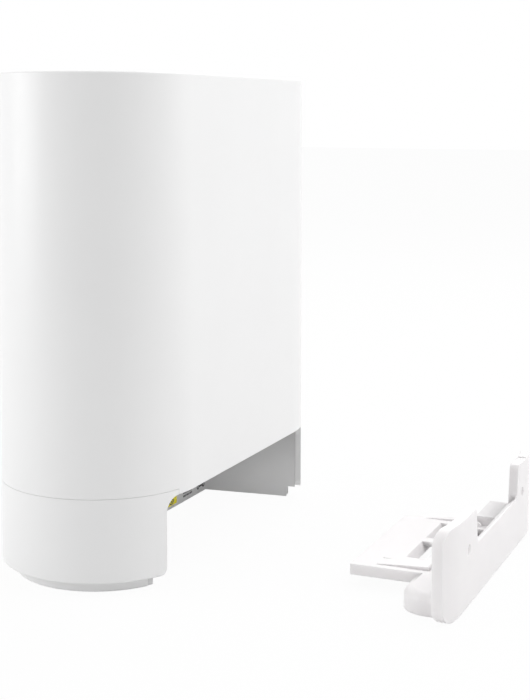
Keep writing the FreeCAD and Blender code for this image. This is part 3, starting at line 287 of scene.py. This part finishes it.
# ---------------------------------------------------------------- USB socket
# A folded steel shell round a black tongue with four gold contacts.

softened("usb_socket", 0.0001, "router", socket_steel)
clad(["usb_tongue"], black_plastic)
low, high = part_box("usb_tongue")
strip_rows, strip_size, strip_back = 4, (0.0011, 0.0062, 0.00016), 0.0045
strips = bmesh.new()
for row in range(strip_rows):
    x = low.x + (high.x - low.x) * (row + 0.5) / strip_rows
    corners = bmesh.ops.create_cube(strips, size=1)["verts"]
    bmesh.ops.scale(strips, verts=corners, vec=strip_size)
    bmesh.ops.translate(strips, verts=corners, vec=(x, high.y - strip_back, low.z))
bmesh.ops.bevel(strips, geom=strips.edges, offset=0.00005, segments=1, profile=0.5,
                affect="EDGES", material=-1)
strip_set = made(strips, "usb_contacts")
dress(strip_set, contact_gold)
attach(strip_set, "router")

# ---------------------------------------------------------------- buttons
# Three white caps in the port wall: power, pairing and the sunken reset. A
# collar behind the wall keeps each in, and a stem reaches its black switch.

button_white = moulding("button_white", (0.864, 0.864, 0.864), (0.834, 0.834, 0.835), 0.35, 0.45)
for name in ("power_button", "pairing_button", "reset_button"):
    softened(name, 0.0003, name, button_white)
clad(["push_switches"], black_plastic)

# ---------------------------------------------------------------- patch and marks
# A yellow film under the first socket, and small dark marks printed on the
# port wall: numbers under the other three, and plain signs under the rest.

label_yellow = moulding("label_yellow", (0.97, 0.85, 0.012), (0.94, 0.82, 0.012), 0.4, 0.5,
                        specular=0.3)
softened("wan_label", 0.00005, "router", label_yellow)
ink_thick, near_zero, ring_steps = 0.00004, 1e-7, 40
mark_ink = moulding("mark_ink", (0.06, 0.06, 0.065), (0.08, 0.08, 0.085), 0.5, 0.6)
wall_face, film_face = (corner.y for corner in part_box("wan_label"))
marks = bmesh.new()


def bar(x, z, length, height, face):
    """A printed bar, centred on a place on a face."""
    corners = bmesh.ops.create_cube(marks, size=1)["verts"]
    bmesh.ops.scale(marks, verts=corners, vec=(length, ink_thick, height))
    bmesh.ops.translate(marks, verts=corners, vec=(x, face + ink_thick / 2, z))


def hoop(x, z, radius, line, face, stretch=1):
    """A printed ring round a place on a face. stretch squeezes it up and down."""
    centre = Vector((x, face, z))
    start = marks.verts.new((x + radius, face, z))
    side = marks.verts.new((x + radius - line, face, z))
    edge = marks.edges.new((start, side))
    bmesh.ops.spin(marks, geom=[edge], cent=centre, axis=(0, 1, 0), angle=2 * math.pi,
                   steps=ring_steps, use_merge=True)
    faces = [item for item in marks.faces
             if all(abs(vert.co.y - face) < near_zero
                    and (vert.co - centre).length < radius + near_zero for vert in item.verts)]
    bmesh.ops.scale(marks, verts=list({vert for item in faces for vert in item.verts}),
                    vec=(1, 1, stretch), space=Matrix.Translation(-centre))
    raised = bmesh.ops.extrude_face_region(marks, geom=faces)["geom"]
    top = [item for item in raised if isinstance(item, bmesh.types.BMVert)]
    bmesh.ops.translate(marks, verts=top, vec=(0, ink_thick, 0))


mark_level = 0.0034
bar_height, ring_line, thin_line = 0.0008, 0.0007, 0.0005
inlet, pairing, power, usb, wan = (middle_of(name) for name in (
    "power_inlet", "pairing_button", "power_button", "usb_socket", "wan_jack"))
bar(inlet, mark_level + 0.0008, 0.0088, bar_height, wall_face)
for step in (-1, 0, 1):
    bar(inlet + step * 0.0031, mark_level - 0.0007, 0.0026, bar_height, wall_face)
for side in (-1, 1):
    hoop(pairing + side * 0.0027, mark_level, 0.0012, ring_line, wall_face)
bar(pairing, mark_level, 0.0030, bar_height, wall_face)
hoop(power, mark_level, 0.0015, thin_line, wall_face)
bar(power, mark_level + 0.0010, thin_line, 0.0016, wall_face)
bar(usb, mark_level, 0.0050, 0.0010, wall_face)
hoop(wan, mark_level, 0.0021, ring_line, film_face, stretch=0.6)
bar(wan, mark_level, 0.0014, thin_line, film_face)
bmesh.ops.recalc_face_normals(marks, faces=marks.faces)
mark_set = made(marks, "printed_signs")
dress(mark_set, mark_ink)
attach(mark_set, "router")

digit_size = 0.0042
for number in range(1, 4):
    digit = bpy.data.curves.new(f"number_{number}", "FONT")
    digit.body = str(number)
    digit.size = digit_size
    digit.align_x, digit.align_y = "CENTER", "CENTER"
    digit.extrude = ink_thick / 2
    holder = bpy.data.objects.new(f"number_{number}_text", digit)
    scene.collection.objects.link(holder)
    bpy.context.view_layer.update()
    mesh = bpy.data.meshes.new_from_object(holder)
    bpy.data.objects.remove(holder)
    facing = Matrix(((-1, 0, 0), (0, 0, 1), (0, 1, 0))).to_4x4()
    mesh.transform(Matrix.Translation((middle_of(f"lan_jack_{number}"),
                                       wall_face + ink_thick / 2, mark_level)) @ facing)
    printed = bpy.data.objects.new(f"number_{number}", mesh)
    scene.collection.objects.link(printed)
    dress(printed, mark_ink)
    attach(printed, "router")

# ---------------------------------------------------------------- circuit board
# The upright board in green solder mask with traces under it, the four aerial
# boards in the same stuff, and two tinned shield cans with grey thermal pads.


def solder_mask():
    """Green lacquer over a net of straight copper tracks."""
    material, tree, shader = blank_material("board_green")
    place = tree.nodes.new("ShaderNodeTexCoord")
    cells = tree.nodes.new("ShaderNodeTexVoronoi")
    cells.distance = "CHEBYCHEV"
    cells.feature = "F1"
    cells.inputs["Scale"].default_value = 260
    tracks = tree.nodes.new("ShaderNodeValToRGB")
    tracks.color_ramp.elements[0].position = 0.42
    tracks.color_ramp.elements[1].position = 0.46
    tint = tree.nodes.new("ShaderNodeMix")
    tint.data_type = "RGBA"
    tint.inputs["A"].default_value = (0.012, 0.085, 0.032, 1)
    tint.inputs["B"].default_value = (0.02, 0.14, 0.055, 1)
    bump = tree.nodes.new("ShaderNodeBump")
    bump.inputs["Distance"].default_value = 0.00003
    shader.inputs["Roughness"].default_value = 0.35
    tree.links.new(place.outputs["Object"], cells.inputs["Vector"])
    tree.links.new(cells.outputs["Distance"], tracks.inputs["Fac"])
    tree.links.new(tracks.outputs["Color"], tint.inputs["Factor"])
    tree.links.new(tracks.outputs["Color"], bump.inputs["Height"])
    tree.links.new(tint.outputs["Result"], shader.inputs["Base Color"])
    tree.links.new(bump.outputs["Normal"], shader.inputs["Normal"])
    return material


clad(["main_board", "left_aerial", "right_aerial", "top_left_aerial", "top_right_aerial"],
     solder_mask())
clad(["radio_shield", "processor_shield"], socket_steel)
thermal_grey = moulding("thermal_grey", (0.36, 0.37, 0.39), (0.31, 0.32, 0.34), 0.7, 0.9,
                        grain=900, depth=0.00004)
clad(["thermal_pads"], thermal_grey)

# ---------------------------------------------------------------- heat sink
# An extruded aluminium plate with eleven fins, left bare, with the fine lines
# of the die running up it.

sink_aluminium = bare_metal("sink_aluminium", (0.72, 0.73, 0.74), (0.62, 0.63, 0.64), 0.3, 0.45,
                            streak=(900, 900, 20))
clad(["heat_sink"], sink_aluminium)

# ---------------------------------------------------------------- status light
# A small chip on the board, and a clear acrylic pipe that carries its light to
# a slim window low in the front.

clad(["status_led"], moulding("led_case", (0.75, 0.74, 0.66), (0.70, 0.69, 0.60), 0.3, 0.4))
light_clear = moulding("light_clear", (0.80, 0.84, 0.86), (0.76, 0.81, 0.84), 0.12, 0.2,
                       depth=0.000004)
light_clear.node_tree.nodes["Principled BSDF"].inputs["Transmission Weight"].default_value = 0.6
softened("light_pipe", 0.0002, "router", light_clear)

# ---------------------------------------------------------------- inner frame
# The carrier in grey glass-filled nylon that holds board, vent and aerials,
# with steel screws up through the foot and into the board's ears.

frame_grey = moulding("frame_grey", (0.24, 0.245, 0.25), (0.20, 0.205, 0.21), 0.5, 0.65,
                      grain=1200, depth=0.00003)
clad(["inner_frame"], frame_grey)
clad(["foot_screws", "board_screws"],
     bare_metal("screw_steel", (0.56, 0.56, 0.57), (0.46, 0.46, 0.47), 0.25, 0.4))

# ---------------------------------------------------------------- cable cover
# A loose moulding in warm white ABS that lets some light through: a U-shaped
# rear plate with a ledge and a thin tray in front of it, latch arms in the
# tray, and a guide for the lead.

cover_white = moulding("cover_white", (0.86, 0.84, 0.845), (0.83, 0.815, 0.82), 0.34, 0.46,
                       through=0.5)
softened("rear_cover", 0.0006, "cover", cover_white)

# ---------------------------------------------------------------- floor and background
# A white table and a white room. Both look white to the camera and in
# reflections, and the table keeps a soft shadow.

table_half = 6
table = bmesh.new()
bmesh.ops.create_grid(table, x_segments=1, y_segments=1, size=table_half)
table_top = made(table, "table")


def seen_directly(tree):
    """A mask for what the camera, a reflection or a clear part sees."""
    path = tree.nodes.new("ShaderNodeLightPath")
    mask = path.outputs["Is Camera Ray"]
    for name in ("Is Glossy Ray", "Is Transmission Ray"):
        wider = tree.nodes.new("ShaderNodeMath")
        wider.operation = "MAXIMUM"
        tree.links.new(mask, wider.inputs[0])
        tree.links.new(path.outputs[name], wider.inputs[1])
        mask = wider.outputs[0]
    return mask


shadow_share = 0.05
table_white, tree, shader = blank_material("table_white")
shader.inputs["Base Color"].default_value = (0.8, 0.8, 0.8, 1)
shader.inputs["Roughness"].default_value = 0.9
shader.inputs["Specular IOR Level"].default_value = 0.1
glow = tree.nodes.new("ShaderNodeEmission")
glow.inputs["Strength"].default_value = 1.0
share = tree.nodes.new("ShaderNodeMath")
share.operation = "MULTIPLY"
share.inputs[1].default_value = 1 - shadow_share
blend = tree.nodes.new("ShaderNodeMixShader")
tree.links.new(seen_directly(tree), share.inputs[0])
tree.links.new(share.outputs[0], blend.inputs["Fac"])
tree.links.new(shader.outputs[0], blend.inputs[1])
tree.links.new(glow.outputs[0], blend.inputs[2])
tree.links.new(blend.outputs[0], tree.nodes["Material Output"].inputs["Surface"])
dress(table_top, table_white)

room_light = 0.67
world = bpy.data.worlds.new("white_room")
scene.world = world
world.use_nodes = True
tree = world.node_tree
ambient = tree.nodes["Background"]
ambient.inputs["Color"].default_value = (1, 1, 1, 1)
ambient.inputs["Strength"].default_value = room_light
backdrop = tree.nodes.new("ShaderNodeBackground")
backdrop.inputs["Color"].default_value = (1, 1, 1, 1)
backdrop.inputs["Strength"].default_value = 1.0
blend = tree.nodes.new("ShaderNodeMixShader")
tree.links.new(seen_directly(tree), blend.inputs["Fac"])
tree.links.new(ambient.outputs[0], blend.inputs[1])
tree.links.new(backdrop.outputs[0], blend.inputs[2])
tree.links.new(blend.outputs[0], tree.nodes["World Output"].inputs["Surface"])

# ---------------------------------------------------------------- lamps
# Soft boxes round the tower: a low one towards the front, a weak one low on
# the port side, and two high ones over the port side and the far end. Angles
# are in degrees, from +X towards +Y and above the table.

aim = Vector((0, 0.03, 0.08))
box_size = 0.7
for name, turn, rise, distance, watts in (
        ("front_side_box", -60, 16, 1.1, 4.3),
        ("port_side_fill", 125, 16, 1.1, 1.1),
        ("port_side_box", 110, 50, 1.2, 4.5),
        ("far_end_box", 180, 50, 1.2, 4.0)):
    turn, rise = math.radians(turn), math.radians(rise)
    lamp = bpy.data.lights.new(name, "AREA")
    lamp.shape, lamp.size, lamp.energy = "SQUARE", box_size, watts
    away = Vector((math.cos(turn) * math.cos(rise), math.sin(turn) * math.cos(rise),
                   math.sin(rise)))
    holder = bpy.data.objects.new(name, lamp)
    holder.location = aim + away * distance
    holder.rotation_euler = away.to_track_quat("Z", "Y").to_euler()
    scene.collection.objects.link(holder)

# ---------------------------------------------------------------- camera
# A long lens from beyond the round end, a little above the tower's middle,
# with the frame shifted down to take in the cover.

eye = Vector((0.497243, 0.258296, 0.169716))
yaw, tilt, roll = 0.40584, 0.07666, 0.00239
forward = Vector((-math.cos(yaw) * math.cos(tilt), -math.sin(yaw) * math.cos(tilt),
                  -math.sin(tilt)))
level_right = Vector((-math.sin(yaw), math.cos(yaw), 0))
level_up = level_right.cross(forward)
right = level_right * math.cos(roll) + level_up * math.sin(roll)
up = level_up * math.cos(roll) - level_right * math.sin(roll)
camera = bpy.data.cameras.new("camera")
camera.sensor_width, camera.lens = 36, 71.486
camera.shift_y = -0.18571
camera.clip_start, camera.clip_end = 0.01, 50
holder = bpy.data.objects.new("camera", camera)
holder.matrix_world = Matrix.Translation(eye) @ Matrix((right, up, -forward)).transposed().to_4x4()
scene.collection.objects.link(holder)
scene.camera = holder
scene.view_settings.view_transform = "Standard"
# Light bounces many times in the white hollows.
scene.cycles.max_bounces = 24
scene.cycles.diffuse_bounces = 16
